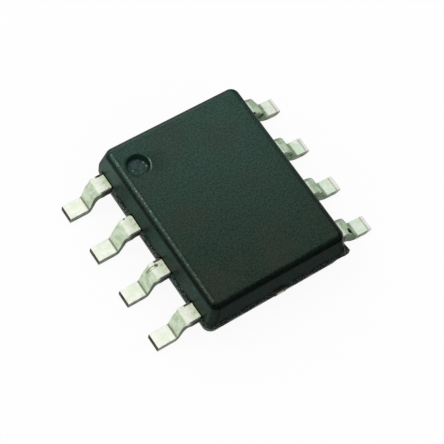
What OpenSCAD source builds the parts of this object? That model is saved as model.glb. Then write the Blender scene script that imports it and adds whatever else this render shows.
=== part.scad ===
// Eight-lead small-outline memory chip (EEPROM) with gull-wing leads.
// Millimetres, +Z up. The origin is the bottom centre: z = 0 is the seating
// plane under the solder feet. X runs across the leads and Y along the body.
// Leads 1 to 4 stand on the -X side, counted from +Y to -Y, and leads 5 to 8
// on the +X side, counted from -Y to +Y.

/* [Moulded body] */
// Width of the moulded body across the leads, at the parting line
body_w = 3.9; // [3.8:0.05:4]
// Length of the moulded body along the rows of leads, at the parting line
body_l = 4.9; // [4.8:0.05:5]
// Thickness of the moulded body, from its underside to its top face
body_h = 1.33; // [1.25:0.01:1.5]
// Clearance between the seating plane and the body's underside
seat_gap = 0.12; // [0.1:0.01:0.2]
// Draft of the four side walls, above and below the parting band
draft = 10; // [5:1:12]
// Radius of the four upright corners
corner_r = 0.22; // [0.21:0.01:0.26]
// Fillet round the top face
top_fillet = 0.19; // [0.1:0.01:0.2]
// Fillet round the underside
bottom_fillet = 0.1; // [0.05:0.01:0.14]
// How far the band of resin at the parting line stands out of the walls
land_out = 0.04; // [0.02:0.01:0.08]
// Width of the broken gate's stub, which squares the band's corner by lead 5
gate_w = 0.35; // [0.3:0.01:0.45]
// Length of the short end, from the corner by lead 1, along which the band is broken away
bare_l = 0.45; // [0.35:0.01:0.6]

/* [Moulded marks] */
// Diameter of the dimple beside lead 1, at the top face
dimple_d = 0.56; // [0.4:0.02:0.6]
// Depth of the dimple beside lead 1
dimple_depth = 0.15; // [0.04:0.01:0.18]
// Distance from the dimple's centre to the body's long side, at the parting line
dimple_side = 0.61; // [0.56:0.01:0.7]
// Distance from the dimple's centre to the body's short end, at the parting line
dimple_end = 0.84; // [0.6:0.01:1]
// Diameter of the two ejector marks in the underside
ejector_d = 0.8; // [0.5:0.05:1]
// Depth of the ejector marks
ejector_depth = 0.03; // [0.02:0.01:0.06]
// Distance between the ejector marks' centres, along the body
ejector_pitch = 2.6; // [2:0.1:3]

/* [Leads] */
// Distance between the tips of opposite leads
lead_span = 6.1; // [5.9:0.05:6.2]
// Distance between the centres of neighbouring leads
lead_pitch = 1.27; // [1.25:0.01:1.29]
// Width of a lead
lead_w = 0.4; // [0.33:0.01:0.45]
// Thickness of the lead frame
lead_t = 0.2; // [0.17:0.01:0.22]
// Height of the lead frame's underside above the seating plane
frame_z = 0.575; // [0.54:0.005:0.6]
// Level run of a lead from the parting band to its first bend
shoulder_l = 0.15; // [0.1:0.01:0.18]
// Inside radius of both bends
bend_r = 0.08; // [0.06:0.01:0.1]
// Slope of the drop between the bends, from the level
drop_angle = 68; // [62:1:75]
// Radius of the sheared upper edge of a lead's tip
tip_round = 0.04; // [0.02:0.01:0.06]
// Width of the cut dam bar's stubs, along the lead
stub_w = 0.08; // [0.06:0.01:0.09]
// How far the cut dam bar's stubs stand out of the lead's edges
stub_out = 0.03; // [0.02:0.01:0.05]

/* [Inside the body] */
// Width of the die pad across the leads
pad_w = 2.2; // [2:0.05:2.3]
// Length of the die pad along the body
pad_l = 2.9; // [2.7:0.05:2.95]
// How far the die pad is pressed down below the leads
downset = 0.12; // [0.08:0.01:0.16]
// Gap between the die pad and the fingers round it
frame_gap = 0.2; // [0.18:0.01:0.24]
// Width of the fingers of the four middle leads
finger_w = 0.62; // [0.5:0.02:0.7]
// Depth in the body at which a finger narrows to the lead's width
neck_l = 0.22; // [0.18:0.01:0.26]
// Width of the two tie bars that carry the die pad
tie_w = 0.3; // [0.24:0.02:0.4]
// How far the cut tie bars stand out of the parting band
tie_proud = 0.015; // [0.01:0.005:0.03]
// Clear gap between a tie bar and the corner leads' fingers
tie_gap = 0.32; // [0.25:0.01:0.4]
// Level run of a tie bar beside the die pad, before it ramps up to the leads' level
tie_run = 0.1; // [0.05:0.01:0.15]
// Chamfer at the free end of a corner lead's arm, beside the tie bar
arm_nose = 0.15; // [0.1:0.01:0.2]
// Width of the silicon die across the leads
die_w = 1.3; // [1:0.05:1.5]
// Length of the silicon die along the body
die_l = 1.6; // [1.4:0.05:1.9]
// Thickness of the silicon die
die_t = 0.26; // [0.2:0.01:0.3]
// Thickness of the glue under the die
glue_t = 0.03; // [0.02:0.005:0.04]
// How far the glue spreads past the die's edges
glue_spread = 0.06; // [0.04:0.01:0.1]

/* [Bond wires] */
// Diameter of a bond wire
wire_d = 0.025; // [0.02:0.001:0.032]
// Diameter of the ball that is welded to the die
ball_d = 0.07; // [0.06:0.005:0.08]
// Height of the welded ball
ball_h = 0.02; // [0.015:0.001:0.025]
// Rise of a wire's loop over the straight line between its ends
loop_h = 0.18; // [0.15:0.01:0.2]
// Distance from the die's edge to the centres of the welded balls
ball_inset = 0.12; // [0.08:0.01:0.15]
// Distance between the centres of neighbouring balls
ball_pitch = 0.36; // [0.3:0.01:0.4]
// Distance from a finger's end to the middle of its weld
weld_inset = 0.14; // [0.1:0.01:0.16]
// Distance from the free end of a corner lead's arm to the middle of its weld
arm_weld = 0.46; // [0.3:0.01:0.55]
// Length of the flattened weld on a finger
weld_l = 0.1; // [0.06:0.01:0.12]
// Width of the flattened weld on a finger
weld_w = 0.05; // [0.04:0.005:0.06]

/* [Hidden] */
$fn = 48;

lead_count = 8;
per_side = lead_count / 2;
// How far a cutter passes beyond the face that it starts from
cut_over = 0.1;
// Straight steps in an arc of an outline, and sides and steps of a bond wire
arc_steps = 7;
wire_sides = 8;
wire_steps = 12;

// Levels, from the seating plane up
frame_top = frame_z + lead_t;
body_top = seat_gap + body_h;
pad_z = frame_z - downset;
glue_z = pad_z + lead_t;
die_z = glue_z + glue_t;
die_top = die_z + die_t;

// Distances from the middle planes of the body
wall = [body_w / 2, body_l / 2];
land_x = body_w / 2 + land_out;
land_y = body_l / 2 + land_out;
bend_x = land_x + shoulder_l;
tip_x = lead_span / 2;
neck_x = body_w / 2 - neck_l;
finger_x = pad_w / 2 + frame_gap;
arm_x = tie_w / 2 + tie_gap;
arm_y = pad_l / 2 + frame_gap;
row_end_y = (per_side - 1) / 2 * lead_pitch;

// The drop of a lead between its two bends
mid_r = bend_r + lead_t / 2;
drop_l = (frame_z - 2 * mid_r * (1 - cos(drop_angle))) / sin(drop_angle);
heel_x = bend_x + 2 * mid_r * sin(drop_angle) + drop_l * cos(drop_angle);

// Points of an arc about centre c, from angle a0 to angle a1
function arc(c, r, a0, a1, steps = arc_steps) =
    [for (i = [0 : steps]) c + r * [cos(a0 + (a1 - a0) * i / steps), sin(a0 + (a1 - a0) * i / steps)]];

// Outline of a rounded rectangle about the origin, from its half sizes
function rounded_outline(half, r) =
    [for (corner = [0 : 3])
        let (sx = corner == 0 || corner == 3 ? 1 : -1, sy = corner < 2 ? 1 : -1)
        each arc([sx * (half[0] - r), sy * (half[1] - r)], r, 90 * corner, 90 * (corner + 1))];

// The same outline as a ring of points at height z
function rounded_ring(half, r, z) = [for (p = rounded_outline(half, r)) [p[0], p[1], z]];

// Closed skin through rings with the same number of points, from the first ring to the last, each of
// them running counter-clockwise about the way from ring to ring
module skin(rings) {
    n = len(rings[0]);
    last = len(rings) - 1;
    polyhedron(
        points = [for (r = rings) each r],
        faces = concat(
            [[for (i = [0 : n - 1]) i]],
            [for (k = [0 : last - 1], i = [0 : n - 1])
                let (j = (i + 1) % n)
                [k * n + i, (k + 1) * n + i, (k + 1) * n + j, k * n + j]],
            [[for (i = [n - 1 : -1 : 0]) last * n + i]]
        )
    );
}

// Half of the moulded form, from the parting plane at z = 0 up to a level face at z = h: walls with
// draft and upright corners of one radius, then a fillet that closes in round the level face
module drafted_half(h, fillet) {
    lean = tan(draft);
    // Height at which the fillet leaves the wall, and how far the wall has leaned in there
    start = h - fillet * (1 - sin(draft));
    skin(concat(
        [rounded_ring(wall, corner_r, 0)],
        [for (i = [0 : arc_steps])
            let (a = draft + (90 - draft) * i / arc_steps)
            let (inward = fillet * (cos(draft) - cos(a)))
            let (half = wall - [1, 1] * (start * lean + inward))
            rounded_ring(half, corner_r - inward, h - fillet * (1 - sin(a)))]
    ));
}

// Band of resin at the parting line, as thick as the lead frame: it is square at the corner with the gate's
// stub, and the wall is bare of it at the corner by lead 1
module parting_band() {
    linear_extrude(lead_t)
        polygon(rounded_outline(wall, corner_r));
    difference() {
        union() {
            linear_extrude(lead_t)
                polygon(rounded_outline([land_x, land_y], corner_r));
            translate([land_x - gate_w, -land_y, 0])
                cube([gate_w, gate_w, lead_t]);
        }
        translate([-land_x - cut_over, row_end_y + lead_w / 2, -cut_over])
            cube([bare_l + cut_over, body_l, lead_t + 2 * cut_over]);
    }
}

// Outside of the moulded body
module mould_form() {
    translate([0, 0, frame_z]) {
        parting_band();
        translate([0, 0, lead_t])
            drafted_half(body_top - frame_top, top_fillet);
        mirror([0, 0, 1])
            drafted_half(frame_z - seat_gap, bottom_fillet);
    }
}

// Tapered dimple in the top face that marks lead 1
module dimple() {
    r = dimple_d / 2;
    translate([dimple_side - body_w / 2, body_l / 2 - dimple_end, body_top - dimple_depth])
        cylinder(
            h = dimple_depth + cut_over,
            r1 = r - dimple_depth * tan(draft),
            r2 = r + cut_over * tan(draft)
        );
}

// Shallow round marks of the two ejector pins in the underside
module ejector_marks() {
    for (side = [-1, 1])
        translate([0, side * ejector_pitch / 2, 0])
            cylinder(h = seat_gap + ejector_depth, d = ejector_d);
}

module mould_body() {
    color([0.18, 0.23, 0.21])
        difference() {
            mould_form();
            dimple();
            ejector_marks();
            for (n = [1 : lead_count]) {
                lead(n);
                bond_wire(n);
            }
            die_pad();
            die_glue();
            silicon_die();
        }
}

// Outline of a lead in the plane of the lead frame, for the +X side, with y measured outward from the
// middle of the body: inner_y and outer_y are its two edges, and head is the outline of its inner end
function frame_outline(inner_y, outer_y, head) =
    concat(
        head,
        [[land_x, inner_y], [land_x, inner_y - stub_out]],
        [[land_x + stub_w, inner_y - stub_out], [land_x + stub_w, inner_y]],
        [[bend_x, inner_y], [bend_x, outer_y]],
        [[land_x + stub_w, outer_y], [land_x + stub_w, outer_y + stub_out]],
        [[land_x, outer_y + stub_out], [land_x, outer_y]]
    );

// Middle lead: a short finger that widens behind the wall, and so is locked in the resin
function middle_outline(y) =
    let (flare = (finger_w - lead_w) / 2)
    frame_outline(y - lead_w / 2, y + lead_w / 2, [
        [neck_x, y + lead_w / 2],
        [neck_x - flare, y + finger_w / 2],
        [finger_x, y + finger_w / 2],
        [finger_x, y - finger_w / 2],
        [neck_x - flare, y - finger_w / 2],
        [neck_x, y - lead_w / 2]
    ]);

// Corner lead: an arm that runs in past the end of the die pad to the tie bar
function corner_outline(y) =
    let (flare = y - lead_w / 2 - arm_y)
    frame_outline(y - lead_w / 2, y + lead_w / 2, [
        [arm_x + arm_nose, y + lead_w / 2],
        [arm_x, y + lead_w / 2 - arm_nose],
        [arm_x, arm_y],
        [neck_x - flare, arm_y],
        [neck_x, y - lead_w / 2]
    ]);

// Side view of a lead outside the body: the first bend, the drop, the second bend and the solder foot
function gull_section() =
    let (high = [bend_x, frame_z - bend_r])
    let (low = [heel_x, lead_t + bend_r])
    concat(
        arc(high, bend_r + lead_t, 90, 90 - drop_angle),
        arc(low, bend_r, 270 - drop_angle, 270),
        arc([tip_x - tip_round, lead_t - tip_round], tip_round, 90, 0, 3),
        [[tip_x, 0]],
        arc(low, bend_r + lead_t, 270, 270 - drop_angle),
        arc(high, bend_r, 90 - drop_angle, 90)
    );

// Lead in the row of the +X side, with place 0 to 3 counted from -Y: the two upper leads are drawn,
// and the two lower ones are their mirror images
module row_lead(place) {
    y = abs(place - (per_side - 1) / 2) * lead_pitch;
    corner = place == 0 || place == per_side - 1;
    mirror([0, place < per_side / 2 ? 1 : 0, 0])
        union() {
            translate([0, 0, frame_z])
                linear_extrude(lead_t)
                    polygon(corner ? corner_outline(y) : middle_outline(y));
            translate([0, y + lead_w / 2, 0])
                rotate([90, 0, 0])
                    linear_extrude(lead_w)
                        polygon(gull_section());
        }
}

// Lead n: the row of the -X side is the other row turned half round
module lead(n) {
    color([0.88, 0.89, 0.86])
        rotate([0, 0, n > per_side ? 0 : 180])
            row_lead((n - 1) % per_side);
}

// Side view of a tie bar: level with the die pad, up through the downset, and level out to its cut end
function tie_section() =
    let (foot = pad_l / 2 + tie_run)
    let (out = land_y + tie_proud)
    [
        [0, pad_z],
        [foot, pad_z],
        [foot + downset, frame_z],
        [out, frame_z],
        [out, frame_top],
        [foot + downset, frame_top],
        [foot, glue_z],
        [0, glue_z]
    ];

// Die pad with its two tie bars, one piece of the lead frame
module die_pad() {
    color([0.78, 0.5, 0.34]) {
        translate([-pad_w / 2, -pad_l / 2, pad_z])
            cube([pad_w, pad_l, lead_t]);
        for (end = [0, 1])
            mirror([0, end, 0])
                translate([-tie_w / 2, 0, 0])
                    rotate([90, 0, 90])
                        linear_extrude(tie_w)
                            polygon(tie_section());
    }
}

// Bed of silver-filled glue between the die and its pad
module die_glue() {
    bed_w = die_w + 2 * glue_spread;
    bed_l = die_l + 2 * glue_spread;
    color([0.66, 0.66, 0.64])
        translate([-bed_w / 2, -bed_l / 2, glue_z])
            cube([bed_w, bed_l, glue_t]);
}

module silicon_die() {
    color([0.3, 0.33, 0.4])
        translate([-die_w / 2, -die_l / 2, die_z])
            cube([die_w, die_l, die_t]);
}

// Point of a wire's centreline: it leaves the ball upright, and s runs from 0 at the ball to 1 at the weld.
// The wire moves over the ground as s squared, and its loop rises as half a sine wave.
function wire_point(from, to, s) = from + (to - from) * s * s + [0, 0, loop_h * sin(180 * s)];

// Direction of a wire over the ground
function heading(from, to) = let (d = [to[0] - from[0], to[1] - from[1], 0]) d / norm(d);

// One ring of points about a centre, in the plane of two unit vectors, with a radius along each
function ring(centre, u, v, ru, rv) =
    [for (i = [0 : wire_sides - 1])
        centre + u * ru * cos(360 * i / wire_sides) + v * rv * sin(360 * i / wire_sides)];

// Ring square to the wire at s
function wire_ring(from, to, s, side) =
    let (t = 2 * s * (to - from) + [0, 0, loop_h * PI * cos(180 * s)])
    ring(wire_point(from, to, s), side, cross(t / norm(t), side), wire_d / 2, wire_d / 2);

// Rings of a wire: the welded ball, the loop, and the weld that lies flat on the finger
function wire_rings(from, to) =
    let (ahead = heading(from, to))
    let (side = cross([0, 0, 1], ahead))
    let (neck = from + [0, 0, ball_h])
    concat(
        [ring(from, side, -ahead, ball_d / 2, ball_d / 2)],
        [ring(neck, side, -ahead, ball_d / 2, ball_d / 2)],
        [for (i = [0 : wire_steps - 1]) wire_ring(neck, to, i / wire_steps, side)],
        [ring(to, side, ahead, weld_w / 2, weld_l / 2)]
    );

// Bond wire in the row of the +X side, with place 0 to 3 as for the leads
module row_wire(place) {
    step = place - (per_side - 1) / 2;
    corner = place == 0 || place == per_side - 1;
    arm_mid_y = (arm_y + row_end_y + lead_w / 2) / 2;
    from = [die_w / 2 - ball_inset, step * ball_pitch, die_top];
    to = corner ? [arm_x + arm_weld, sign(step) * arm_mid_y, frame_top]
        : [finger_x + weld_inset, step * lead_pitch, frame_top];
    skin(wire_rings(from, to));
}

// Bond wire n joins the die to lead n
module bond_wire(n) {
    color([0.9, 0.72, 0.3])
        rotate([0, 0, n > per_side ? 0 : 180])
            row_wire((n - 1) % per_side);
}

mould_body();
for (n = [1 : lead_count])
    lead(n);
die_pad();
die_glue();
silicon_die();
for (n = [1 : lead_count])
    bond_wire(n);
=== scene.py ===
"""Looks of an eight-lead small-outline memory chip: moulded body, formed leads and what is sealed inside.

Every length is in metres, apart from the lists that say that they are in millimetres. MM turns the maker's
millimetres into metres.
"""
import math
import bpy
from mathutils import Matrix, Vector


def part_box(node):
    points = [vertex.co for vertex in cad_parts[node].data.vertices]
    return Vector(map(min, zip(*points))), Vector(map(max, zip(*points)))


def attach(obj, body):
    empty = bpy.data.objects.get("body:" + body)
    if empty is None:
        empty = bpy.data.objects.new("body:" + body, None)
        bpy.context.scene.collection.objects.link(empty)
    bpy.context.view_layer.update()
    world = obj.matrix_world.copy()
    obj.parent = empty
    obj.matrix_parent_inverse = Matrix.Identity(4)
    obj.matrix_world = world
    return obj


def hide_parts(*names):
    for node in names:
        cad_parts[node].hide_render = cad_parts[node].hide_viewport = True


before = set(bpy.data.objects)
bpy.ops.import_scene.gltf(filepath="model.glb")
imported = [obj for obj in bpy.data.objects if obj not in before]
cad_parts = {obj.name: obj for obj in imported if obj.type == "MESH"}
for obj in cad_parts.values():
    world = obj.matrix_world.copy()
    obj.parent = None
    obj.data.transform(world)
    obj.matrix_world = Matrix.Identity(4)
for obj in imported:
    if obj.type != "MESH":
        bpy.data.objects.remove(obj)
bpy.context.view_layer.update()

from types import SimpleNamespace

import bpy
import numpy as np
from mathutils import Matrix, Vector

MM = 0.001

# ---------------------------------------------------------------- sizes of the package

PER_SIDE = 4
WIRES = [f"bond_wire_{n}" for n in range(1, 2 * PER_SIDE + 1)]
PITCH = 1.27 * MM
LEAD_W = 0.40 * MM
FRAME_T = 0.20 * MM          # thickness of the lead frame
LAND = 0.04 * MM             # how far the parting band stands out of the walls
DRAFT = math.radians(10)     # lean of the walls
CORNER_R = 0.22 * MM         # upright corners at the parting line
TOP_FILLET = 0.19 * MM
BOTTOM_FILLET = 0.10 * MM
BARE_L = 0.45 * MM           # stretch of the short end, by lead 1, without its band
DIMPLE = np.array([-1.34, 1.61]) * MM     # the mark beside lead 1, in the top face
DIMPLE_R = 0.28 * MM
DIMPLE_DEPTH = 0.16 * MM
DIMPLE_LIP = 0.022 * MM
EJECTOR_R = 0.40 * MM        # marks of the two ejector pins, underneath
EJECTOR_DEPTH = 0.03 * MM
EJECTOR_LIP = 0.008 * MM
EJECTOR_PITCH = 2.6 * MM

body_low, body_high = (np.array(corner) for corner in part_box("mould_body"))
TIP_X, _, FRAME_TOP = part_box("lead_6")[1]
FRAME_Z = FRAME_TOP - FRAME_T
LAND_X, LAND_Y = body_high[0], body_high[1]
WALL = body_high[:2] - LAND
ROW_END = (PER_SIDE - 1) / 2 * PITCH

SHARP = math.radians(35)     # edges that turn more than this stay crisp
MERGE = 1e-5 * MM            # points closer than this are one point
EASE = 0.004 * MM            # how far a broken or sheared edge is eased

EDGE_R = 0.012 * MM          # rounding along a lead's edges
NECK = 0.22 * MM             # depth in the body at which a finger narrows
ARM_NOSE = 0.15 * MM         # chamfer at the free end of a corner lead's arm
STUB_TO = 2.34 * MM          # where the cut stubs of the dam bar end, out from the middle of the body
STUB_OUT = 0.04 * MM         # how far a stub stands out of the lead's side
FOOT_T = 0.185 * MM          # the foot is pressed a little thinner than the frame
HEEL_X = 2.56 * MM           # where the drop ends and the foot starts

# Corners of a row's bends in millimetres, as a place outwards and a height with the length that its rounding
# takes: the upper surface and the lower surface from the band to the heel.
LEFT_UPPER = ((2.24, 0.775, 0.07), (2.39, 0.655, 0.05), (2.535, 0.205, 0.03))
LEFT_LOWER = ((2.13, 0.575, 0.08), (2.32, 0.420, 0.05), (2.500, 0.010, 0.11))
RIGHT_UPPER = ((2.15, 0.775, 0.05), (2.35, 0.690, 0.06), (2.575, 0.230, 0.04))
RIGHT_LOWER = ((2.08, 0.575, 0.04), (2.18, 0.360, 0.06), (2.500, 0.040, 0.20))
# For leads 1 to 8, in millimetres: how far the bend stands outwards, the foot is lifted and the toe is short.
BEND_OUT = (0.03, 0.00, 0.02, 0.05, 0.00, 0.00, 0.00, -0.02)
FOOT_LIFT = (0.00, 0.01, 0.01, 0.05, 0.02, 0.00, 0.00, 0.04)
TOE_SHORT = (0.00, 0.00, 0.01, 0.00, 0.00, 0.01, 0.055, 0.06)
# Upper and lower corner of the toe in millimetres: back from the tip, height, rounding, and rise to the tip.
UPPER_TOE = (0.015, FOOT_T / MM, 0.012, -0.030)
LEFT_LOWER_TOE = (0.02, 0.0, 0.010, 0.015)
RIGHT_LOWER_TOE = (0.11, 0.0, 0.060, 0.080)

# Dark stains and a painted shadow on single leads, in millimetres: each one's middle, and its radius.
STAINS_AND_SHADOW = (
    ((2.33, -2.05, 0.70), 0.13),
    # Painted shadow in the notch on the side of lead 8.
    ((2.33, 1.675, 0.505), 0.205),
    ((2.13, 1.72, 0.775), 0.06),
    ((-2.07, 2.14, 0.78), 0.075),
    ((-2.15, 0.87, 0.77), 0.05),
    ((2.385, 0.435, 0.46), 0.085))
# The scuff on top of lead 3: where it starts outwards, its length and its place along the row.
SCUFF_X = 2.09 * MM
SCUFF_L = 0.32 * MM
SCUFF_Y = -0.525 * MM


# ---------------------------------------------------------------- surfaces from arrays

def smooth(value, low, high):
    """Smooth step of value from 0 at low to 1 at high: 3 t squared less 2 t cubed."""
    t = np.clip((value - low) / (high - low), 0, 1)
    return t * t * (3 - 2 * t)


def grain(*waves):
    """Even pseudo-random numbers from -1 to 1: the fraction left of a large multiple of a sine."""
    total = sum(w * k for w, k in zip(waves, (12.9898, 78.233, 37.719)))
    return 2 * np.modf(np.abs(np.sin(total) * 43758.5453))[0] - 1


def strip(rings, closed=True):
    """Faces of a grid of rings, each quad joining a ring's step to the same step of the next ring."""
    rings = np.asarray(rings)
    rows, columns = rings.shape[:2]
    index = np.arange(rows * columns).reshape(rows, columns)
    following = np.roll(index, -1, axis=1) if closed else index[:, 1:]
    start = index if closed else index[:, :-1]
    quads = np.stack([start[:-1], following[:-1], following[1:], start[1:]], axis=-1)
    return rings.reshape(-1, 3), quads.reshape(-1, 4)


def fan(ring, tip):
    """Triangles from each step of a ring to one point, wound as the ring is."""
    ring = np.asarray(ring)
    n = len(ring)
    step = np.arange(n)
    triangles = np.stack([step, np.roll(step, -1), np.full(n, n)], axis=-1)
    return np.vstack([ring, tip]), triangles


def piece(name, patches, material, replaced):
    """One closed mesh from patches of points and faces, merged where their points fall together."""
    points, faces, base = [], [], 0
    for patch_points, patch_faces in patches:
        points.append(patch_points)
        faces += (patch_faces + base).tolist()
        base += len(patch_points)
    points = np.vstack(points)
    cells = np.round(points / MERGE).astype(np.int64)
    _, first, merged = np.unique(cells, axis=0, return_index=True, return_inverse=True)
    merged = merged.ravel().tolist()
    faces = [[merged[corner] for corner in face] for face in faces]
    faces = [list(dict.fromkeys(face)) for face in faces]
    mesh = bpy.data.meshes.new(name)
    mesh.from_pydata(points[first].tolist(), [], [face for face in faces if len(face) > 2])
    mesh.shade_smooth()
    mesh.set_sharp_from_angle(angle=SHARP)
    mesh.update()
    made = bpy.data.objects.new(name, mesh)
    bpy.context.scene.collection.objects.link(made)
    mesh.materials.append(material)
    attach(made, "root")
    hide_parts(replaced)


# ---------------------------------------------------------------- the moulded body

def outline_steps():
    """Steps round the body, counter-clockwise from the +X side, as six arrays.

    A step's place is (gx * half_x + cx * r + qx, gy * half_y + cy * r + qy): on a straight side one half size
    counts and the other place is fixed, and on a corner both half sizes count, with r times the turned unit
    vector less the corner's signs.
    """
    edges = (np.arange(PER_SIDE) - (PER_SIDE - 1) / 2) * PITCH
    stops = np.sort(np.concatenate([edges - LEAD_W / 2, edges + LEAD_W / 2]))
    beside = 0.012 * MM
    long_run, short_run = 2.12 * MM, 1.6 * MM
    even_y = np.linspace(-long_run, long_run, 181)
    along_y = np.unique(np.concatenate([even_y, stops - beside, stops + beside]))
    along_x = np.linspace(-short_run, short_run, 141)
    turn = np.radians(np.linspace(0, 90, 19))
    steps = []
    for quarter, side in enumerate([along_y, -along_x, -along_y, along_x]):
        zero, one = np.zeros_like(side), np.ones_like(side)
        sign = 1 if quarter in (0, 1) else -1
        if quarter % 2 == 0:
            steps.append(np.stack([one * sign, zero, zero, zero, zero, side]))
        else:
            steps.append(np.stack([zero, one * sign, zero, zero, side, zero]))
        angle = turn + quarter * math.pi / 2
        sx, sy = [(1, 1), (-1, 1), (-1, -1), (1, -1)][quarter]
        one = np.ones_like(angle)
        cosine, sine = np.cos(angle) - sx, np.sin(angle) - sy
        steps.append(np.stack([one * sx, one * sy, cosine, sine, 0 * one, 0 * one]))
    return np.concatenate(steps, axis=1)


def band_reach(x, y, z):
    """How far the broken band stands out of the wall at each step: the band's full reach between the leads,
    less an uneven bite, and nothing at a lead or round the corner by lead 1."""
    beside = np.abs((y / PITCH) % 1 - 0.5) * PITCH
    by_leads = (np.abs(x) > WALL[0] - EASE) & (np.abs(y) < ROW_END + LEAD_W)
    between = np.where(by_leads, smooth(beside, LEAD_W / 2, LEAD_W / 2 + 0.02 * MM), 1)
    bare = (x < -WALL[0] + BARE_L) & (y > ROW_END + LEAD_W / 2)
    ripple = np.sin(x / (0.11 * MM)) * np.sin(y / (0.09 * MM))
    bite = 0.55 + 0.25 * ripple + 0.2 * grain(x / MM, y / MM, z / MM)
    return LAND * between * np.where(bare, 0, np.clip(bite, 0, 1))


def ring(steps, half_x, half_y, radius, z):
    """One turn of the outline at height z, from its half sizes and corner radius."""
    gx, gy, cx, cy, qx, qy = steps
    x = gx * half_x + cx * radius + qx
    y = gy * half_y + cy * radius + qy
    return np.stack([x, y, np.broadcast_to(z, x.shape)], axis=-1)


def half_profile(height, fillet, count):
    """Inset from the parting line, corner radius and rise of each ring of one half: a drafted wall, then a
    fillet whose angle grows from the draft to a right angle in count steps."""
    start = height - fillet * (1 - math.sin(DRAFT))
    wall_rise = np.linspace(0, start, 7)[:-1]
    angle = np.linspace(DRAFT, math.pi / 2, count)
    inward = fillet * (math.cos(DRAFT) - np.cos(angle))
    inset = np.concatenate([wall_rise * math.tan(DRAFT), start * math.tan(DRAFT) + inward])
    radius = np.concatenate([np.full(6, CORNER_R), CORNER_R - inward])
    rise = np.concatenate([wall_rise, height - fillet * (1 - np.sin(angle))])
    return np.stack([inset, radius, rise], axis=-1)


def band_rings(steps):
    """Rings of the parting band from its lower to its upper edge, each as far out as the band reaches there.
    The corner by lead 5 is square, where the gate was broken off."""
    wall = ring(steps, WALL[0], WALL[1], CORNER_R, 0)
    square = steps.copy()
    corner = (steps[0] > 0) & (steps[1] < 0)
    cosine, sine = steps[2] + steps[0], steps[3] + steps[1]
    longest = np.maximum(np.abs(cosine), np.abs(sine))
    square[2] = np.where(corner, cosine / np.where(corner, longest, 1) - steps[0], steps[2])
    square[3] = np.where(corner, sine / np.where(corner, longest, 1) - steps[1], steps[3])
    between = np.linspace(FRAME_Z, FRAME_TOP, 9)[1:-1]
    levels = np.concatenate([[FRAME_Z + EASE], between, [FRAME_TOP - EASE]])
    rings = [ring(steps, WALL[0], WALL[1], CORNER_R, FRAME_Z)]
    for z in levels:
        reach = band_reach(wall[:, 0], wall[:, 1], z)
        rings.append(ring(square, WALL[0] + reach, WALL[1] + reach, CORNER_R, z))
    rings.append(ring(steps, WALL[0], WALL[1], CORNER_R, FRAME_TOP))
    return rings


def round_mark(border, centre, profile):
    """Face from a border loop in to a round mark: rings run straight from each border point towards the
    centre, as far as the mark's rim, and then follow the mark's profile of radius and height."""
    away = border[:, :2] - centre
    span = np.linalg.norm(away, axis=1, keepdims=True)
    rim = profile[0, 0]
    rings = [border]
    for share in (0.25, 0.5, 0.75):
        reach = span + (rim - span) * share
        rings.append(np.hstack([centre + away / span * reach, border[:, 2:]]))
    for radius, z in profile:
        rings.append(np.hstack([centre + away / span * radius, np.full((len(border), 1), z)]))
    tip = np.append(centre, profile[-1, 1])
    return [strip(rings), fan(rings[-1], tip)]


def mark_profile(radius, depth, lip, draft, level, down):
    """Radius and height of a round mark from its rim to its middle: a rounded lip, a leaning wall, a rounded
    foot and a floor. down is -1 where the mark goes down from its level and 1 where it goes up."""
    bend = np.radians(np.linspace(0, 90, 5))
    top = np.stack([radius + lip - lip * np.sin(bend), lip - lip * np.cos(bend)], axis=-1)
    foot_radius = radius - depth * math.tan(draft)
    foot = np.stack([foot_radius - lip + lip * np.cos(bend), depth - lip + lip * np.sin(bend)], axis=-1)
    floor = np.stack([np.linspace(0.8, 0.2, 4) * (foot_radius - lip), np.full(4, depth)], axis=-1)
    profile = np.vstack([top, foot, floor])
    profile[:, 1] = level + down * profile[:, 1]
    return profile


def mould(material):
    """The moulded body: turns of the outline over both halves and the band, a dimple in the top face, and the
    underside as two halves with an ejector mark in each."""
    steps = outline_steps()
    patches = []
    lower = half_profile(FRAME_Z - body_low[2], BOTTOM_FILLET, 6)
    upper = half_profile(body_high[2] - FRAME_TOP, TOP_FILLET, 12)
    rings = [ring(steps, WALL[0] - inset, WALL[1] - inset, radius, FRAME_Z - rise)
             for inset, radius, rise in lower[:0:-1]]
    rings += band_rings(steps)
    rings += [ring(steps, WALL[0] - inset, WALL[1] - inset, radius, FRAME_TOP + rise)
              for inset, radius, rise in upper[1:]]
    patches.append(strip(rings))
    dimple = mark_profile(DIMPLE_R, DIMPLE_DEPTH, DIMPLE_LIP, DRAFT, body_high[2], -1)
    patches += round_mark(rings[-1], DIMPLE, dimple)
    under = rings[0]
    ejector = mark_profile(EJECTOR_R, EJECTOR_DEPTH, EJECTOR_LIP, 0, body_low[2], 1)
    right = np.argmin(np.hypot(under[:, 0] - under[:, 0].max(), under[:, 1]))
    left = np.argmin(np.hypot(under[:, 0] - under[:, 0].min(), under[:, 1]))
    turned = np.roll(under, -right, axis=0)
    split = (left - right) % len(under)
    across = np.linspace(turned[0], turned[split], 41)
    for side, loop in ((1, np.vstack([turned[:split], across[:0:-1]])),
                       (-1, np.vstack([turned[split:], across[:-1]]))):
        centre = np.array([0, side * EJECTOR_PITCH / 2])
        patches += [(points, faces[:, ::-1]) for points, faces in round_mark(loop, centre, ejector)]
    piece("moulded_body", patches, material, "mould_body")


# ---------------------------------------------------------------- the leads

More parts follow.
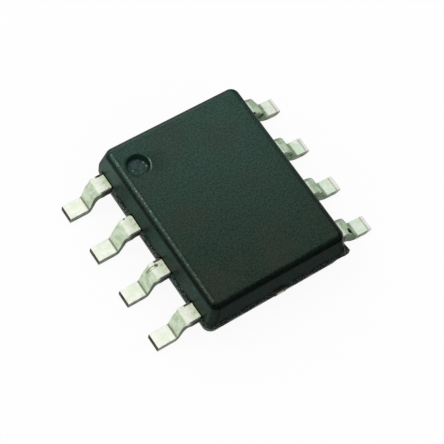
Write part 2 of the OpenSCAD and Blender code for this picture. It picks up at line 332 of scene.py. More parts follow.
def eased_path(corners, eases, steps=9):
    """Path through straight runs with rounded corners. Each corner P is left at A and joined again at B, both
    at its ease's length from P, by the curve (1 - t) squared A + 2 t (1 - t) P + t squared B."""
    t = np.linspace(0, 1, steps)[:, None]
    path = [corners[:1]]
    for before, corner, after, ease in zip(corners, corners[1:], corners[2:], eases):
        leave = corner + (before - corner) * ease / np.linalg.norm(before - corner)
        join = corner + (after - corner) * ease / np.linalg.norm(after - corner)
        path.append(path[-1][-1] + (leave - path[-1][-1]) * t[1:-1])
        path.append((1 - t) ** 2 * leave + 2 * t * (1 - t) * corner + t ** 2 * join)
    path.append(corners[-1:])
    return np.vstack(path)


def lead_profile(n, inner_x, stops):
    """Upper and lower edge of a lead's profile, step by step from its inner end to its tip."""
    left = n <= PER_SIDE
    out, lift = BEND_OUT[n - 1] * MM, FOOT_LIFT[n - 1] * MM
    tip_x = TIP_X - TOE_SHORT[n - 1] * MM
    inside = np.unique(np.concatenate([np.linspace(inner_x, LAND_X, 36), stops]))
    upper = (LEFT_UPPER if left else RIGHT_UPPER, FRAME_TOP, UPPER_TOE)
    lower = (LEFT_LOWER, FRAME_Z, LEFT_LOWER_TOE) if left else (RIGHT_LOWER, FRAME_Z, RIGHT_LOWER_TOE)
    edges = []
    for corners, level, (back, height, ease, rise) in (upper, lower):
        bends = [np.array([x * MM + out * share, z * MM + lift * (share == 0)])
                 for (x, z, _), share in zip(corners, (1, 1, 0))]
        eases = [bend_ease * MM for _, _, bend_ease in corners]
        last = np.array([tip_x - back * MM, height * MM + lift])
        points = np.array([[inside[-1], level], *bends, last, [tip_x, last[1] + rise * MM]])
        outside = eased_path(points, [*eases, ease * MM])
        straight = np.stack([inside, np.full(len(inside), level)], axis=-1)
        edges.append(np.vstack([straight, outside[1:]]))
    return edges


def lead_edges(place, x, low, high):
    """Near and far edge of a lead along x: the finger inside the body, which narrows behind the wall, then
    the lead's own width with the stubs of the dam bar. low and high are the edges of the finger's box."""
    centre = abs(place - (PER_SIDE - 1) / 2) * PITCH
    neck_x = WALL[0] - NECK
    stub = STUB_OUT * smooth(x, WALL[0] - EASE, LAND_X) * (1 - smooth(x, STUB_TO - 0.12 * MM, STUB_TO))
    near, far = centre - LEAD_W / 2 - stub, centre + LEAD_W / 2 + stub
    if place in (0, PER_SIDE - 1):
        inner = centre - LEAD_W / 2
        flare = inner - low
        near = np.interp(x, [neck_x - flare, neck_x], [low, inner]) + near - inner
        far = far - ARM_NOSE * (1 - np.clip((x - x[0]) / ARM_NOSE, 0, 1))
    else:
        flare = high - centre - LEAD_W / 2
        spread = np.interp(x, [neck_x - flare, neck_x], [flare, 0])
        near, far = near - spread, far + spread
    return near, far


def section_steps():
    """Steps round a lead's section, as four arrays: a step's place is (su * (half_u - r) + cu * r,
    sh * (half_h - r) + ch * r). Each corner is a quarter turn, and each flat is a row of even steps."""
    steps = []
    for quarter in range(4):
        su, sh = [(1, -1), (1, 1), (-1, 1), (-1, -1)][quarter]
        nu, nh = [(1, 1), (-1, 1), (-1, -1), (1, -1)][quarter]
        angle = np.radians(np.linspace(-90, 0, 5) + 90 * quarter)
        one = np.ones(5)
        steps.append(np.stack([su * one, sh * one, np.cos(angle), np.sin(angle)]))
        share = np.linspace(0, 1, 10)[1:-1]
        one = np.ones(len(share))
        steps.append(np.stack([su + (nu - su) * share, sh + (nh - sh) * share,
                               round(math.cos(angle[-1])) * one, round(math.sin(angle[-1])) * one]))
    return np.concatenate(steps, axis=1)


def formed_lead(n, material):
    """A rounded rectangle carried along the lead: its height runs from the lower to the upper edge of the
    profile, and its width follows the finger, the stubs and the lead."""
    place = (n - 1) % PER_SIDE
    low, high = (np.array(corner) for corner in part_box(f"lead_{n}"))
    inner_x = min(abs(low[0]), abs(high[0]))
    reach_y = sorted((abs(low[1]), abs(high[1])))
    neck_x = WALL[0] - NECK
    flare = (reach_y[1] - reach_y[0] - LEAD_W) / 2
    stops = [inner_x + ARM_NOSE, neck_x - flare, neck_x, WALL[0] - EASE, LAND_X]
    upper, lower = lead_profile(n, inner_x, stops)
    near, far = lead_edges(place, (upper[:, 0] + lower[:, 0]) / 2, *reach_y)
    if place < PER_SIDE / 2:
        near, far = -far, -near
    su, sh, cu, ch = section_steps()[:, None, :]
    half_w = ((far - near) / 2)[:, None]
    middle, half = (upper + lower) / 2, (upper - lower) / 2
    edge = (EDGE_R / np.linalg.norm(half, axis=1))[:, None]
    share = sh * (1 - edge) + ch * edge
    x, z = (middle[:, axis, None] + half[:, axis, None] * share for axis in (0, 1))
    y = ((near + far) / 2)[:, None] + su * (half_w - EDGE_R) + cu * EDGE_R
    rings = np.stack([x, y, z], axis=-1)
    if n <= PER_SIDE:
        rings = rings * [-1, -1, 1]
    inner_points, inner_faces = fan(rings[0], rings[0].mean(axis=0))
    patches = [strip(rings), (inner_points, inner_faces[:, ::-1]), fan(rings[-1], rings[-1].mean(axis=0))]
    piece(f"formed_lead_{n}", patches, material, f"lead_{n}")


# ---------------------------------------------------------------- materials

def colour(red, green, blue):
    """Colour from its display values, 0 to 255, by the display's own curve."""
    share = np.array([red, green, blue]) / 255
    return (*np.where(share <= 0.04045, share / 12.92, ((share + 0.055) / 1.055) ** 2.4), 1.0)


class Socket:
    """A socket of a node tree. Arithmetic on it adds Math nodes, and node() adds any other node."""

    def __init__(self, tree, socket=None):
        self.tree, self.socket = tree, socket

    def node(self, kind, settings, sockets, output=0):
        """Adds a node of a kind with its settings, then the values or links of its sockets."""
        made = self.tree.nodes.new(kind)
        for name, value in settings.items():
            setattr(made, name, value)
        for name, value in sockets.items():
            if isinstance(value, Socket):
                self.tree.links.new(value.socket, made.inputs[name])
            else:
                made.inputs[name].default_value = value
        return Socket(self.tree, made.outputs[output] if made.outputs else None)

    def math(self, operation, *inputs):
        return self.node("ShaderNodeMath", {"operation": operation}, dict(enumerate(inputs)))

    def __add__(self, other):
        return self.math("ADD", self, other)

    def __radd__(self, other):
        return self.math("ADD", other, self)

    def __sub__(self, other):
        return self.math("SUBTRACT", self, other)

    def __rsub__(self, other):
        return self.math("SUBTRACT", other, self)

    def __mul__(self, other):
        return self.math("MULTIPLY", self, other)

    def __rmul__(self, other):
        return self.math("MULTIPLY", other, self)

    def __truediv__(self, other):
        return self.math("DIVIDE", self, other)

    def __rtruediv__(self, other):
        return self.math("DIVIDE", other, self)

    def __neg__(self):
        return self.math("SUBTRACT", 0, self)

    def __abs__(self):
        return self.math("ABSOLUTE", self)

    def most(self, other):
        return self.math("MAXIMUM", self, other)

    def step(self, low, high):
        """0 below low, 1 above high, and a smooth rise between them."""
        return self.node("ShaderNodeMapRange", {"interpolation_type": "SMOOTHSTEP"},
                         {0: self, 1: low, 2: high, 3: 0.0, 4: 1.0})

    def fall(self, low, high):
        """1 below low, 0 above high, and a smooth fall between them."""
        return 1 - self.step(low, high)


def mixed(factor, first, second):
    """Colour that goes from the first to the second as the factor goes from 0 to 1."""
    return factor.node("ShaderNodeMix", {"data_type": "RGBA"}, {0: factor, 6: first, 7: second}, 2)


def noise(place, size, detail, roughness=0.5):
    """Cloudy noise from 0 to 1 with features of about that size."""
    return place.node("ShaderNodeTexNoise", {}, {
        "Vector": place, "Scale": 1 / size, "Detail": detail, "Roughness": roughness})


def stretched(place, factors):
    """Place with each of its parts multiplied."""
    return place.node("ShaderNodeVectorMath", {"operation": "MULTIPLY"}, {0: place, 1: factors})


def distance(place, centre):
    """Distance from a centre, in plan where the centre has two parts."""
    if len(centre) == 2:
        place, centre = stretched(place, (1, 1, 0)), (*centre, 0)
    return place.node("ShaderNodeVectorMath", {"operation": "DISTANCE"}, {0: place, 1: centre}, "Value")


def across_lead(y):
    """Place across the nearest lead in pitches, 0 at its middle and from -0.5 to 0.5."""
    turns = y / PITCH + PER_SIDE / 2
    return turns.math("FRACT", turns) - 0.5


def empty_material(name):
    """New material without nodes, and its tree's starting socket."""
    material = bpy.data.materials.new(name)
    material.use_nodes = True
    material.node_tree.nodes.clear()
    return material, Socket(material.node_tree)


def start_material(name):
    """New material, with the place on the piece, its parts and the parts of the outward direction."""
    material, start = empty_material(name)
    place = start.node("ShaderNodeTexCoord", {}, {}, "Object")
    facing = start.node("ShaderNodeNewGeometry", {}, {}, "Normal")
    x, y, z = (place.node("ShaderNodeSeparateXYZ", {}, {0: place}, axis) for axis in range(3))
    normal_x, normal_y, normal_z = (
        facing.node("ShaderNodeSeparateXYZ", {}, {0: facing}, axis) for axis in range(3))
    return material, SimpleNamespace(
        place=place, x=x, y=y, z=z, normal_x=normal_x, normal_y=normal_y, normal_z=normal_z)


def finish_material(material, base, roughness, metallic, height, relief, specular=0.5, edge=1.0):
    """Closes a material with the principled shader, a bump from a height of 0 to 1, and the output. edge is
    how much of a mirror's brightness is left at a grazing view."""
    start = Socket(material.node_tree)
    bump = start.node("ShaderNodeBump", {}, {"Height": height, "Strength": 1.0, "Distance": relief})
    shader = start.node("ShaderNodeBsdfPrincipled", {}, {
        "Base Color": base, "Roughness": roughness, "Metallic": metallic, "Normal": bump,
        "Specular IOR Level": specular, "Specular Tint": (edge, edge, edge, 1.0)})
    shader.node("ShaderNodeOutputMaterial", {}, {"Surface": shader})
    return material


# ---------------------------------------------------------------- the moulding compound

def even_skin(at, coarse):
    """Even skin: a fine grain with olive and brown clouds and pale filler specks, and painted light that
    makes it paler and greener towards +Y.
    """
    # Painted light: the skin is paler and greener towards +Y.
    along = (at.y + 0.3 * at.x).step(-3.4 * MM, 3.4 * MM)
    skin = mixed(along, colour(42, 56, 49), colour(61, 86, 78))
    hollow = mixed(along, colour(28, 38, 32), colour(44, 63, 56))
    skin = mixed(1 - coarse, skin, hollow)
    olive = noise(at.place, 0.30 * MM, 1.0).step(0.4, 0.65)
    skin = mixed(olive * 0.2, skin, colour(50, 62, 48))
    brown = noise(at.place, 1.1 * MM, 1.0).step(0.45, 0.62)
    skin = mixed(brown * 0.22, skin, colour(58, 56, 50))
    speck = noise(at.place, 0.028 * MM, 0.0).step(0.62, 0.8)
    return mixed(speck * 0.2, skin, colour(92, 104, 94))


def walls_with_painted_light(at, coarse, flank, end, skin):
    """Walls: patchy green on the -X flank with its own lit colours, paler towards lead 1 with a painted
    reflection of the leads, and painted shade that makes the -Y end nearly black.
    """
    patchy = noise(at.place, 0.22 * MM, 2.0).step(0.42, 0.6)
    # Painted light: the -X flank has its own lit colours.
    wall = mixed(coarse, colour(48, 66, 60), colour(61, 82, 75))
    wall = mixed(patchy, wall, colour(59, 69, 64))
    # Painted reflection of the bright leads, towards lead 1.
    wall = mixed(at.y.step(1.2 * MM, 1.8 * MM) * 0.5, wall, colour(94, 112, 106))
    skin = mixed(flank, skin, wall)
    # Painted shade: the -Y end is nearly black.
    skin = mixed(end, skin, mixed(coarse, colour(29, 39, 36), colour(37, 47, 43)))
    return mixed(end * patchy * 0.4, skin, colour(44, 42, 40))


def painted_edge_light(at, skin):
    """Painted light on the rounded edges: painted shade on the fillets at -X and -Y, a beaded painted
    highlight on the -X edge of the top face with painted shade beside it, and painted highlights on the rims
    at +X and +Y, with painted shade inside the one at +X."""
    to_left, to_front = -at.normal_x, -at.normal_y
    # Painted shade on the -X and -Y fillets.
    left_fillet_shade = to_left.step(0.3, 0.5) * at.normal_z.step(0.18, 0.30) * at.normal_z.fall(0.4, 0.7)
    left_fillet_shade = left_fillet_shade * (0.42 - 0.2 * at.y.step(0.4 * MM, 2 * MM))
    front_fillet_shade = to_front.step(0.2, 0.4) * at.normal_z.step(0.15, 0.35) * at.normal_z.fall(0.76, 0.92)
    skin = mixed(left_fillet_shade.most(front_fillet_shade * 0.45), skin, colour(6, 8, 8))
    # Painted shade just inside the highlight on the -X edge.
    skin = mixed(to_left.step(0.02, 0.1) * to_left.fall(0.2, 0.3) * 0.35, skin, colour(10, 14, 12))
    # Beads of painted highlight along the -X edge, weaker towards -Y, with painted shade between them.
    glint_beads = noise(at.place, 0.06 * MM, 1.0, 0.5).step(0.45, 0.7)
    edge = to_left.step(0.2, 0.3) * to_left.fall(0.4, 0.5) * at.normal_z.step(0.75, 0.85)
    shown = 0.13 * at.y.step(-2.3 * MM, -1.8 * MM) + 0.16 * at.y.step(-0.1 * MM, 0.5 * MM)
    skin = mixed(edge * glint_beads * shown, skin, colour(118, 126, 122))
    skin = mixed(edge * (1 - glint_beads) * 0.42, skin, colour(14, 22, 20))
    # Painted highlights on the +Y and +X rims, and painted shade inside the +X one.
    back_rim_highlight = at.normal_y.step(0.15, 0.5) * at.normal_z.step(0.2, 0.4)
    skin = mixed(back_rim_highlight * 0.8, skin, colour(104, 120, 114))
    right_shade = at.normal_x.step(0, 0.1) * at.normal_x.fall(0.2, 0.35)
    skin = mixed(right_shade * 0.35, skin, colour(12, 16, 14))
    right_rim_highlight = at.normal_x.step(0.35, 0.6) * at.normal_z.step(0.15, 0.4)
    return mixed(right_rim_highlight * 0.5, skin, colour(110, 132, 120))


def dimple_skin(at, coarse, upper, well, skin):
    """Dimple beside lead 1: a green and grey floor with bright specks of painted glint, painted shadow and
    shade towards its wall, a soft painted shade on the -X side and a painted highlight on the rim on the +X
    side."""
    away = distance(at.place, tuple(DIMPLE))
    off_x, off_y = at.x - DIMPLE[0], at.y - DIMPLE[1]
    slant = off_y + 0.5 * off_x
    floor = mixed(slant.step(-0.16 * MM, 0.16 * MM), colour(42, 69, 52), colour(58, 69, 76))
    floor = mixed(coarse * 0.5, floor, colour(42, 64, 60))
    floor = mixed(noise(at.place, 0.07 * MM, 1.0).step(0.45, 0.6) * 0.35, floor, colour(82, 94, 90))
    # Bright specks of painted glint on the floor.
    floor = mixed(noise(at.place, 0.05 * MM, 0.0).step(0.68, 0.8), floor, colour(150, 172, 164))
    # Painted shadow and shade on the floor towards its wall.
    shadow = distance(at.place, (DIMPLE[0] - 0.02 * MM, DIMPLE[1] - 0.035 * MM))
    shadow = shadow.step(DIMPLE_R - 0.05 * MM, DIMPLE_R)
    foot = away.step(DIMPLE_R - 0.07 * MM, DIMPLE_R - 0.03 * MM)
    floor = mixed(shadow.most(foot * 0.85), floor, colour(26, 48, 42))
    skin = mixed(well, skin, floor)
    # Soft painted shade outside the rim on the -X side.
    shade = away.fall(DIMPLE_R + 0.01 * MM, DIMPLE_R + 0.08 * MM) * (-off_x).step(0.05 * MM, 0.2 * MM) * upper
    skin = mixed(shade * (1 - well) * 0.5, skin, colour(18, 32, 28))
    # Painted highlight on the rim on the +X side.
    rim = away.step(DIMPLE_R, DIMPLE_R + 0.01 * MM) * away.fall(DIMPLE_R + 0.03 * MM, DIMPLE_R + 0.05 * MM)
    lit = (0.92 * off_x - 0.39 * off_y).step(0.24 * MM, 0.3 * MM) * upper
    return mixed(rim * lit * 0.65, skin, colour(112, 134, 124))


def band_fracture(at, grit, end):
    """Broken face of the parting band: pale grit, with painted shade that makes it darker on the -Y end, and
    brownish at its tie bar.
    """
    fracture = mixed(grit, colour(26, 34, 31), colour(132, 140, 132))
    # Painted shade on the -Y end.
    fracture = mixed(end, fracture, mixed(grit, colour(14, 18, 16), colour(84, 90, 84)))
    by_tie_bar = abs(at.x).fall(0.18 * MM, 0.24 * MM) * end
    return mixed(by_tie_bar * 0.8, fracture, mixed(grit, colour(30, 26, 18), colour(88, 78, 56)))


def gate_scar(at, base):
    """Torn stub of the gate at the corner by lead 5: pitted, brown below and grey above."""
    corner = distance(at.place, (LAND_X - 0.04 * MM, -LAND_Y + 0.06 * MM))
    gate = corner.fall(0.14 * MM, 0.22 * MM) * at.z.fall(FRAME_TOP + 0.02 * MM, FRAME_TOP + 0.06 * MM)
    pits = noise(at.place, 0.05 * MM, 2.0, 0.6).step(0.42, 0.62)
    torn = mixed(at.z.step(FRAME_Z - 0.05 * MM, FRAME_Z + 0.08 * MM), colour(84, 72, 54), colour(88, 94, 86))
    return mixed(gate, base, mixed(pits, colour(34, 38, 33), torn))


def mould_compound():
    """Matte moulding compound with a low sheen: an even skin with its own walls, edges and dimple, all with
    painted light and shade, painted olive reflections of the leads on the wall above them, and rough and pale
    where the band is broken or the gate is torn."""
    material, at = start_material("mould_compound")
    fine = noise(at.place, 0.05 * MM, 2.0, 0.6)
    coarse = fine.step(0.3, 0.7)
    flank, end = (-at.normal_x).step(0.75, 0.97), (-at.normal_y).step(0.75, 0.97)
    upper = at.z.step(FRAME_TOP, FRAME_TOP + 0.1 * MM)
    well = distance(at.place, tuple(DIMPLE)).fall(DIMPLE_R, DIMPLE_R + 0.01 * MM) * upper
    skin = painted_edge_light(at, walls_with_painted_light(at, coarse, flank, end, even_skin(at, coarse)))
    by_lead = abs(across_lead(at.y)).fall(0.6 * LEAD_W / PITCH, 0.68 * LEAD_W / PITCH)
    # Painted olive reflection of each lead in the -X wall just above it.
    lead_reflection = by_lead * flank * at.z.fall(FRAME_TOP + 0.06 * MM, FRAME_TOP + 0.22 * MM)
    skin = mixed(lead_reflection * 0.6, skin, colour(66, 66, 48))
    skin = dimple_skin(at, coarse, upper, well, skin)
    broken = (abs(at.x) - WALL[0]).most(abs(at.y) - WALL[1]).step(0.5 * EASE, 2 * EASE)
    above_edge = at.z.step(FRAME_Z + 0.04 * MM, FRAME_Z + 0.06 * MM)
    rim_line = above_edge * at.z.fall(FRAME_Z + 0.11 * MM, FRAME_Z + 0.14 * MM)
    grit = noise(at.place, 0.045 * MM, 2.0, 0.6).step(0.44, 0.62) * (0.3 * above_edge).most(rim_line)
    base = mixed(broken, skin, band_fracture(at, grit, end))
    joint = by_lead * abs(at.z - FRAME_TOP - 0.02 * MM).fall(0.035 * MM, 0.05 * MM)
    base = gate_scar(at, mixed(joint, base, colour(12, 16, 8)))
    roughness = 0.2 + 0.15 * fine + 0.4 * broken
    metallic = 0.7 * (1 - broken) * (1 - 0.8 * well)
    height = fine + 0.6 * broken * grit
    return finish_material(material, base, roughness, metallic, height, 0.006 * MM, 0.0, 0.5)


# ---------------------------------------------------------------- the plating of the leads

def left_tops(at, mottle, out):
    """Upper faces of the left leads: bright on the level, with painted shade that greys them down the drop.
    """
    level = mixed(mottle, colour(255, 255, 246), colour(238, 247, 226))
    by_body = mixed(mottle, colour(248, 255, 234), colour(222, 238, 200))
    level = mixed(out.step(2.04 * MM, 2.16 * MM), by_body, level)
    # Painted shade down the drop.
    drop = mixed(mottle, colour(218, 232, 208), colour(182, 199, 170))
    return mixed(abs(at.normal_x).step(0.2, 0.7), level, drop)


def right_tops(at, mottle, out, front_lead):
    """Upper faces of the right leads: bright by the body, painted shade on the shoulder and green painted
    shade down the drop, and a pale foot that ends in a line of painted shade and a painted highlight on the
    white toe."""
    # Painted shade on the shoulder, bright only by the body.
    top = mixed(mottle, colour(212, 234, 206), colour(172, 196, 166))
    top = mixed(out.step(2.11 * MM, 2.18 * MM), colour(244, 252, 234), top)
    # Painted shade down the drop.
    drop = mixed(mottle, colour(164, 184, 156), colour(122, 142, 112))
    foot = mixed(mottle, colour(250, 255, 244), colour(228, 248, 222))
    tops = mixed(out.step(2.29 * MM, 2.38 * MM), top, drop)
    tops = mixed(out.step(2.60 * MM, 2.66 * MM), tops, foot)
    # A line of painted shade where the toe rounds over, then a painted highlight on the toe.
    toe = out + 0.03 * MM * at.y.step(0.2 * MM, 0.4 * MM) - 0.025 * MM * front_lead
    toe_shade_line = toe.step(TIP_X - 0.16 * MM, TIP_X - 0.13 * MM) * toe.fall(TIP_X - 0.12 * MM, TIP_X - 0.08 * MM)
    tops = mixed(toe_shade_line * 0.5, tops, colour(150, 146, 128))
    return mixed(toe.step(TIP_X - 0.1 * MM, TIP_X - 0.06 * MM), tops, colour(255, 255, 250))


def bend_shade(at, out, left, plate):
    """Painted shade across the left leads: a soft band at the upper bend and a dark line in the crease at
    the heel.
    """
    lean = abs(at.normal_x)
    # Painted shade in a soft band at the upper bend.
    bend = lean.step(0.06, 0.2) * lean.fall(0.4, 0.6) * at.z.step(0.5 * MM, 0.6 * MM)
    plate = mixed(bend * 0.6 * left, plate, colour(212, 222, 200))
    # Painted shade in the crease at the heel.
    heel = abs(out - HEEL_X + 0.015 * MM).fall(0.01 * MM, 0.03 * MM) * at.z.fall(0.3 * MM, 0.34 * MM)
    return mixed(heel * 0.75 * left, plate, colour(92, 100, 74))


def scuffed(at, cloud, streak, out, left, plate):
    """Scuff on lead 3: two lines that bow apart and meet again, 4 t (1 - t) high at a share t of the scuff's
    length, with a brown smear where they start."""
    share = (out - SCUFF_X) / SCUFF_L
    bow = share * (1 - share) * 4 * share.step(0, 0.04) * share.fall(0.96, 1)
    off = at.y - SCUFF_Y + 0.02 * MM * cloud
    upper_line = abs(off - 0.032 * MM * bow).fall(0.006 * MM, 0.022 * MM)
    lower_line = abs(off + 0.028 * MM * bow).fall(0.004 * MM, 0.018 * MM)
    reach = bow.step(0.05, 0.2) * left
    plate = mixed(upper_line * reach * 0.8, plate, colour(84, 84, 48))
    plate = mixed(lower_line * reach * 0.5, plate, colour(110, 112, 78))
    smear = distance(at.place, (-SCUFF_X - 0.05 * MM, SCUFF_Y + 0.005 * MM, FRAME_TOP))
    smear = (smear + 0.04 * MM * streak).fall(0.045 * MM, 0.085 * MM)
    return mixed(smear * 0.8, plate, colour(60, 58, 26))


def stains_and_shadow(at, streak):
    """How dark each place is with the stains and the painted notch shadow on lead 8, from 0 to 1."""
    most = None
    for centre, radius in STAINS_AND_SHADOW:
        away = distance(at.place, tuple(part * MM for part in centre))
        size = radius * MM
        spot = (away + 0.6 * size * streak).fall(0.75 * size, 1.1 * size)
        most = spot if most is None else most.most(spot)
    return most


def dusty(at, out, left, speckle, plate):
    """Flecks, speckle that is weaker on the left leads and the feet, and grime by the body."""
    fleck = noise(at.place, 0.06 * MM, 4.0, 0.7).step(0.61, 0.70)
    plate = mixed(fleck * 0.5, plate, colour(138, 146, 108))
    foot = out.step(HEEL_X - 0.03 * MM, HEEL_X)
    plate = mixed(speckle * (0.22 - 0.15 * left) * (1 - 0.6 * foot), plate, colour(112, 124, 96))
    grime = noise(at.place, 0.05 * MM, 2.0, 0.7).step(0.52, 0.68) * out.fall(2.03 * MM, 2.12 * MM)
    return mixed(grime * 0.5, plate, colour(120, 128, 92))


def cut_stubs(at, out, left, burr, plate):
    """Cut edges of the dam bar along both sides of a lead's top, less the far one of lead 2."""
    width = LEAD_W / PITCH
    across = across_lead(at.y)
    shank = out.fall(2.2 * MM, 2.36 * MM)
    near_stub = (-across).step(0.46 * width, 0.51 * width) * shank
    plate = mixed(near_stub * 0.9, plate, burr)
    far_stub = across.step(0.36 * width, 0.48 * width) * shank * (1 - left)
    plate = mixed(far_stub * 0.8, plate, colour(140, 148, 142))
    far_burr = across.step(0.44 * width, 0.48 * width) * out.fall(2.13 * MM, 2.18 * MM) * left
    far_burr = far_burr * abs(at.y - 0.88 * MM).step(0.1 * MM, 0.2 * MM)
    return mixed(far_burr * 0.9, plate, colour(22, 26, 12))


def sheared_sides(at, mottle, speckle, out, left, front_lead, burr):
    """Sheared sides: grey feet, darker drops, nearly black by the body, and pale on the +Y side."""
    foot_side = mixed(mottle, colour(156, 164, 150), colour(126, 134, 118))
    drop_side = mixed(mottle, colour(130, 139, 120), colour(104, 113, 96))
    left_side = mixed(out.step(HEEL_X - 0.03 * MM, HEEL_X), drop_side, foot_side)
    left_side = mixed(out.step(2.10 * MM, 2.34 * MM), burr, left_side)
    left_side = mixed(speckle * 0.3, left_side, colour(70, 78, 60))
    right_side = mixed(mottle, colour(140, 166, 138), colour(100, 124, 96))
    # Darker near side of lead 5.
    right_side = mixed(front_lead * 0.45, right_side, colour(56, 68, 50))
    right_side = mixed(out.step(2.06 * MM, 2.16 * MM), colour(40, 52, 40), right_side)
    right_side = mixed(out.step(HEEL_X, HEEL_X + 0.06 * MM), right_side, foot_side)
    toe = out.step(TIP_X - 0.18 * MM, TIP_X - 0.02 * MM)
    right_side = mixed(toe, right_side, colour(214, 218, 204))
    far_side = mixed(mottle, colour(206, 210, 200), colour(176, 182, 168))
    return mixed(at.normal_y.step(0, 0.3), mixed(left, right_side, left_side), far_side)


def lead_plating():
    """Tin plating, satin and cloudy: bright tops with painted shade down the drops, on the right shoulders
    and across the bends and a painted highlight on the right toes, duller sheared sides, the dam bar's dark
    cuts, tips of bare copper alloy, and the scuff and the stains of single leads, one a painted shadow on
    lead 8."""
    material, at = start_material("lead_plating")
    out, left = abs(at.x), (-at.x).step(0, EASE)
    # Lead at the -Y end of a row: on the right, lead 5 gets a darker near side and its toe line further out.
    front_lead = (-at.y).step(1.5 * MM, 1.6 * MM)
    cloud = noise(at.place, 0.16 * MM, 3.0, 0.6)
    mottle = cloud.step(0.35, 0.65)
    streak = noise(stretched(at.place, (0.3, 1, 1)), 0.03 * MM, 2.0, 0.6)
    speckle = noise(at.place, 0.045 * MM, 2.0, 0.6).step(0.4, 0.62)
    burr = mixed(left, colour(120, 128, 114), colour(28, 34, 24))
    plate = mixed(left, right_tops(at, mottle, out, front_lead), left_tops(at, mottle, out))
    plate = bend_shade(at, out, left, plate)
    plate = scuffed(at, cloud, streak, out, left, plate)
    plate = dusty(at, out, left, speckle, plate)
    plate = cut_stubs(at, out, left, burr, plate)
    side = abs(at.normal_y).step(0.55, 0.85)
    base = mixed(side, plate, sheared_sides(at, mottle, speckle, out, left, front_lead, burr))
    tip = abs(at.normal_x).step(0.35, 0.75) * (out - TIP_X + 0.12 * MM).step(0, 0.02 * MM)
    base = mixed(tip, base, mixed(mottle, colour(60, 48, 40), colour(94, 84, 72)))
    # Stains, and a painted shadow in the notch on the side of lead 8.
    base = mixed(stains_and_shadow(at, streak), base, colour(12, 18, 2))
    roughness = 0.36 + 0.12 * streak + 0.25 * side.most(tip)
    return finish_material(material, base, roughness, 0.15, 0.6 * streak + cloud, 0.004 * MM, 0.15)


# ---------------------------------------------------------------- what is sealed inside

def plain_finish(name, dark, light, size, roughness, metallic, relief=0.002 * MM):
    """Finish of a sealed piece: noise of one size between two colours, with the same noise as its bump."""
    material, at = start_material(name)
    cloud = noise(at.place, size, 3.0, 0.6)
    base = mixed(cloud.step(0.3, 0.7), colour(*dark), colour(*light))
    return finish_material(material, base, roughness + 0.1 * cloud, metallic, cloud, relief)


def frame_metal():
    """Copper alloy of the die pad. The cut ends of its tie bars are brown, with a paler corner."""
    material, at = start_material("frame_metal")
    cloud = noise(at.place, 0.08 * MM, 3.0, 0.6)
    metal = mixed(cloud.step(0.3, 0.7), colour(150, 104, 76), colour(206, 158, 120))
    end = abs(at.y).step(LAND_Y - 0.06 * MM, LAND_Y - 0.05 * MM)
    pale = abs(at.x).fall(0.07 * MM, 0.11 * MM) * at.z.fall(0.66 * MM, 0.70 * MM)
    cut = mixed(pale * cloud.step(0.25, 0.4), colour(46, 38, 26), colour(180, 180, 162))
    base = mixed(end, metal, cut)
    return finish_material(material, base, 0.4 + 0.1 * cloud, 1 - end, cloud, 0.002 * MM, 0.1)


def dress(nodes, material):
    """Gives CAD nodes their finish."""
    for node in nodes:
        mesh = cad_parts[node].data
        mesh.materials.clear()
        mesh.materials.append(material)


# ---------------------------------------------------------------- stage, light and camera

def stage_piece(name, points, faces, material):
    """A mesh with its material, added to the stage."""
    mesh = bpy.data.meshes.new(name)
    mesh.from_pydata(points.tolist(), [], faces.tolist())
    mesh.materials.append(material)
    made = bpy.data.objects.new(name, mesh)
    bpy.context.scene.collection.objects.link(made)
    return made


def is_seen(start):
    """1 for what is seen straight, in a shiny face or through a clear one, and 0 for what only lights."""
    straight, shiny, through = (start.node("ShaderNodeLightPath", {}, {}, ray) for ray in (
        "Is Camera Ray", "Is Glossy Ray", "Is Transmission Ray"))
    return straight.most(shiny).most(through)


def floor_card():
    """White card that keeps the chip's soft shadow, and is clear when seen from below."""
    material, start = empty_material("floor_card")
    card = start.node("ShaderNodeBsdfDiffuse", {}, {"Color": (0.9, 0.9, 0.9, 1.0)})
    white = start.node("ShaderNodeEmission", {}, {"Color": (1.0, 1.0, 1.0, 1.0), "Strength": 1.0})
    clear = start.node("ShaderNodeBsdfTransparent", {}, {})
    shown = start.node("ShaderNodeMixShader", {}, {0: 0.92 * is_seen(start), 1: card, 2: white})
    below = start.node("ShaderNodeNewGeometry", {}, {}, "Backfacing")
    surface = start.node("ShaderNodeMixShader", {}, {0: below, 1: shown, 2: clear})
    start.node("ShaderNodeOutputMaterial", {}, {"Surface": surface})
    return material


def lay_floor(half):
    """Square floor just below the feet, from half its width."""
    corners = np.array([[-1, -1, 0], [1, -1, 0], [1, 1, 0], [-1, 1, 0]]) * half
    stage_piece("floor", corners - [0, 0, 0.5 * EASE], np.array([[0, 1, 2, 3]]), floor_card())


def dark_ring(radius, low, high, level):
    """Dark screen round the chip that only shiny surfaces see. Its height at an angle t from the -X side is
    low + (high - low) ((1 + sin t) / 2) cubed, so it is highest at the -Y side."""
    angle = np.linspace(0, 2 * math.pi, 73)
    height = low + (high - low) * ((1 + np.sin(angle)) / 2) ** 3
    x, y = -radius * np.cos(angle), -radius * np.sin(angle)
    points, faces = strip([np.stack([x, y, z], axis=-1) for z in (0 * angle, height)], closed=False)
    material, start = empty_material("dark_cloth")
    glow = start.node("ShaderNodeEmission", {}, {"Color": (level, level, level, 1.0), "Strength": 1.0})
    start.node("ShaderNodeOutputMaterial", {}, {"Surface": glow})
    screen = stage_piece("dark_ring", points, faces, material)
    screen.visible_camera = False
    screen.visible_diffuse = False
    screen.visible_shadow = False


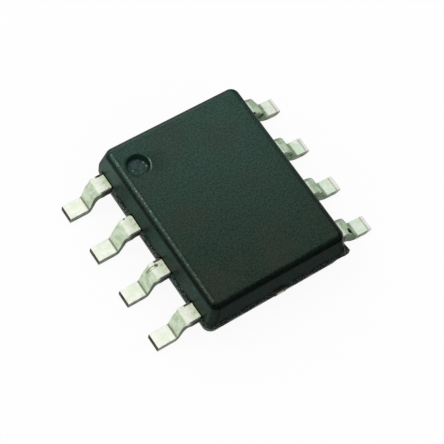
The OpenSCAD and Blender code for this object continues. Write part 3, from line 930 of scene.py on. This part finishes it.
def light_world(level):
    """White surroundings for what is seen, and a plain level for what is lit."""
    world = bpy.data.worlds.new("studio")
    bpy.context.scene.world = world
    world.use_nodes = True
    world.node_tree.nodes.clear()
    start = Socket(world.node_tree)
    strength = level + (1 - level) * is_seen(start)
    sky = start.node("ShaderNodeBackground", {}, {"Color": (1.0, 1.0, 1.0, 1.0), "Strength": strength})
    start.node("ShaderNodeOutputWorld", {}, {"Surface": sky})


def direction(azimuth, elevation):
    """Unit vector from the chip towards a place at an azimuth, 0 being on the -Y side, and an elevation, both
    in degrees."""
    turn, rise = math.radians(azimuth), math.radians(elevation)
    return Vector((math.sin(turn) * math.cos(rise), -math.cos(turn) * math.cos(rise), math.sin(rise)))


def soft_box(name, azimuth, elevation, away, size, power):
    """Square soft box that faces the middle of the chip."""
    lamp = bpy.data.lights.new(name, "AREA")
    lamp.shape, lamp.size, lamp.energy = "SQUARE", size, power
    light = bpy.data.objects.new(name, lamp)
    bpy.context.scene.collection.objects.link(light)
    back = direction(azimuth, elevation)
    light.location = back * away
    light.rotation_euler = back.to_track_quat("Z", "Y").to_euler()


def set_camera(azimuth, elevation, roll, away, lens, aim, offset):
    """Camera that looks at a point, rolled about its own axis and moved across its view by an offset."""
    back = direction(azimuth, elevation)
    level = Vector((0, 0, 1)).cross(back).normalized()
    upright = back.cross(level)
    turn = math.radians(roll)
    right = math.cos(turn) * level + math.sin(turn) * upright
    above = math.cos(turn) * upright - math.sin(turn) * level
    data = bpy.data.cameras.new("camera")
    data.sensor_width, data.lens = 36, lens
    data.clip_start, data.clip_end = away / 100, away * 100
    camera = bpy.data.objects.new("camera", data)
    bpy.context.scene.collection.objects.link(camera)
    place = Vector(aim) + offset[0] * right + offset[1] * above + away * back
    turned = Matrix((right, above, back)).transposed().to_4x4()
    camera.matrix_world = Matrix.Translation(place) @ turned
    bpy.context.scene.camera = camera


# ---------------------------------------------------------------- the chip

mould(mould_compound())
plating = lead_plating()
for number in range(1, 2 * PER_SIDE + 1):
    formed_lead(number, plating)
dress(["die_pad"], frame_metal())
dress(["die_glue"], plain_finish("die_glue", (128, 128, 124), (186, 186, 180), 0.03 * MM, 0.55, 0.3))
dress(["silicon_die"], plain_finish("silicon", (58, 62, 80), (96, 100, 124), 0.2 * MM, 0.2, 0.4, 0.0005 * MM))
dress(WIRES, plain_finish("bond_wire", (214, 164, 62), (244, 204, 108), 0.01 * MM, 0.3, 1.0, 0.0005 * MM))

lay_floor(half=200 * MM)
light_world(level=0.81)
dark_ring(radius=5 * MM, low=2.6 * MM, high=9 * MM, level=0.02)
soft_box("key_light", azimuth=-131, elevation=60, away=70 * MM, size=30 * MM, power=0.0112)
set_camera(azimuth=-46.78, elevation=61.93, roll=14.79, away=34.34 * MM, lens=118.74,
           aim=(0, 0, 0.7 * MM), offset=(0.0278 * MM, -0.3353 * MM))
bpy.context.scene.view_settings.view_transform = "Standard"
